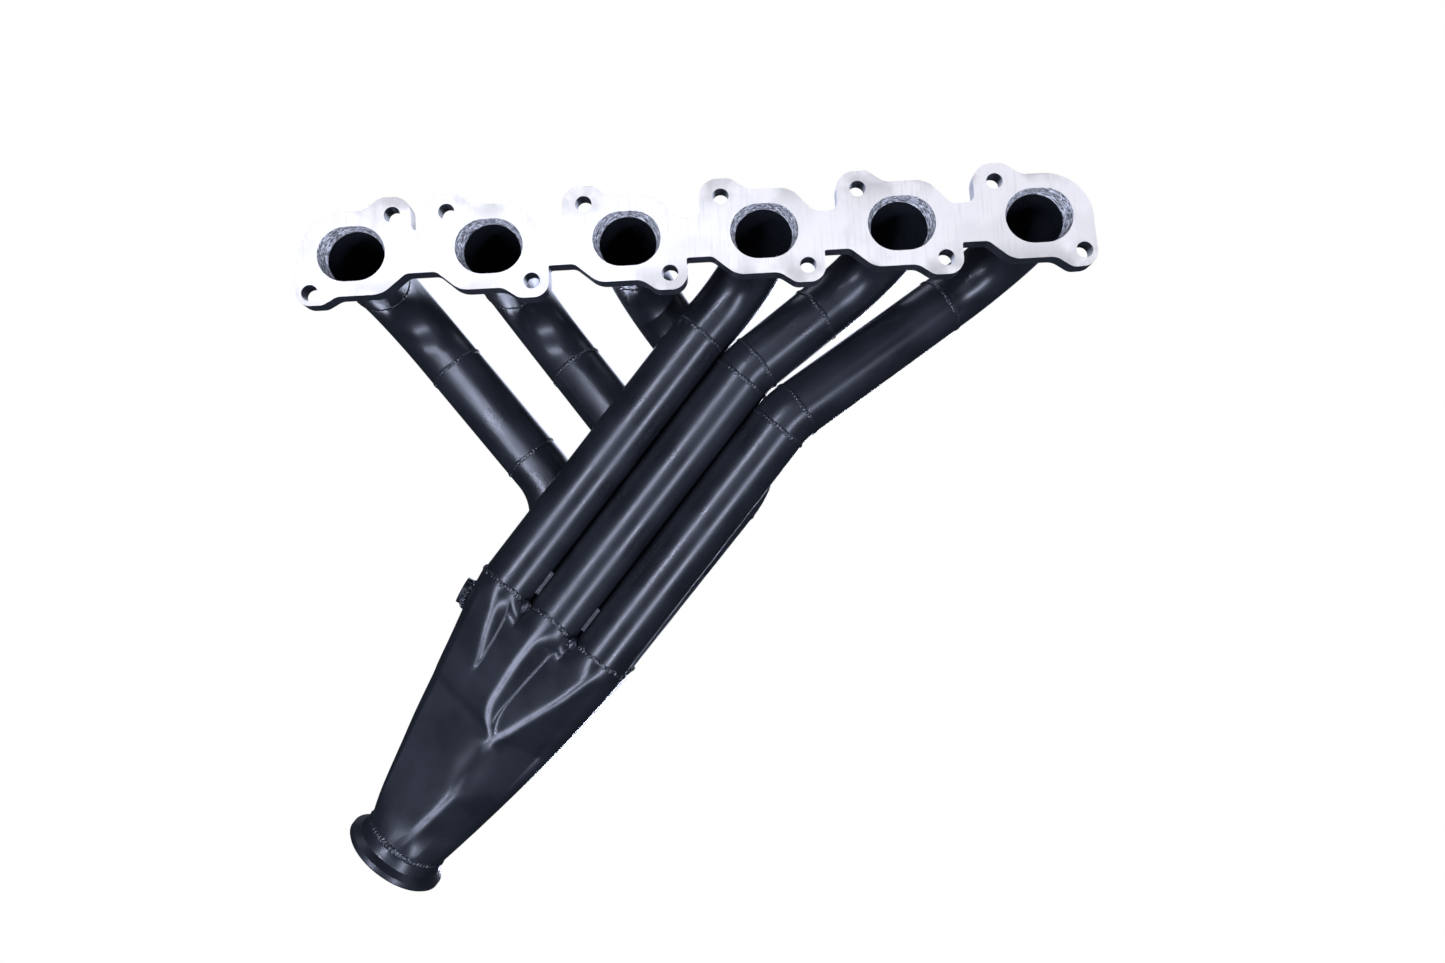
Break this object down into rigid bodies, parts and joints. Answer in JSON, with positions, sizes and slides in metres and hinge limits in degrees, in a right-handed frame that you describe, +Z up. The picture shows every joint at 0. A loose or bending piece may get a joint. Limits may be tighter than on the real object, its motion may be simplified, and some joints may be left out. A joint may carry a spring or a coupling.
{
  "type": "exhaust manifold",
  "caption": "Welded tubular exhaust manifold: flanged ports in a row, bent runners in two banks, merge collector and clamp flange outlet.",
  "frame": {"origin": "centre of the gasket face, level with the port centres", "axes": "+X along the row of ports, +Y away from the cylinder head, +Z up"},
  "size_m": [0.5703, 0.1842, 0.4991],
  "materials": {
    "bare_flange": "bare machined mild steel face",
    "black_coating": "satin black high-temperature coating",
    "coated_weld": "rippled weld bead under satin black coating"
  },
  "bodies": {
    "root": {"collector_front_shell": "black_coating", "collector_inlet_weld": "coated_weld", "collector_rear_shell": "black_coating", "collector_seam_welds": "coated_weld", "flange_weld_rings": "coated_weld", "head_flange": "bare_flange", "merge_spikes": "black_coating", "outlet_weld": "coated_weld", "runner_1_lower_elbow": "black_coating", "runner_1_port_elbow": "black_coating", "runner_1_port_stub": "black_coating", "runner_1_straight": "black_coating", "runner_1_tail_tube": "black_coating", "runner_1_weld_beads": "coated_weld", "runner_2_lower_elbow": "black_coating", "runner_2_port_elbow": "black_coating", "runner_2_port_stub": "black_coating", "runner_2_straight": "black_coating", "runner_2_tail_tube": "black_coating", "runner_2_weld_beads": "coated_weld", "runner_3_lower_elbow": "black_coating", "runner_3_port_elbow": "black_coating", "runner_3_port_stub": "black_coating", "runner_3_straight": "black_coating", "runner_3_tail_tube": "black_coating", "runner_3_weld_beads": "coated_weld", "runner_4_port_elbow": "black_coating", "runner_4_tail_tube": "black_coating", "runner_4_weld_beads": "coated_weld", "runner_5_port_elbow": "black_coating", "runner_5_short_elbow": "black_coating", "runner_5_straight": "black_coating", "runner_5_tail_tube": "black_coating", "runner_5_weld_beads": "coated_weld", "runner_6_port_elbow": "black_coating", "runner_6_short_elbow": "black_coating", "runner_6_straight": "black_coating", "runner_6_tail_tube": "black_coating", "runner_6_weld_beads": "coated_weld", "sensor_bung": "black_coating", "sensor_bung_weld": "coated_weld", "tie_strips": "black_coating", "vband_flange": "black_coating"}
  },
  "joints": []
}
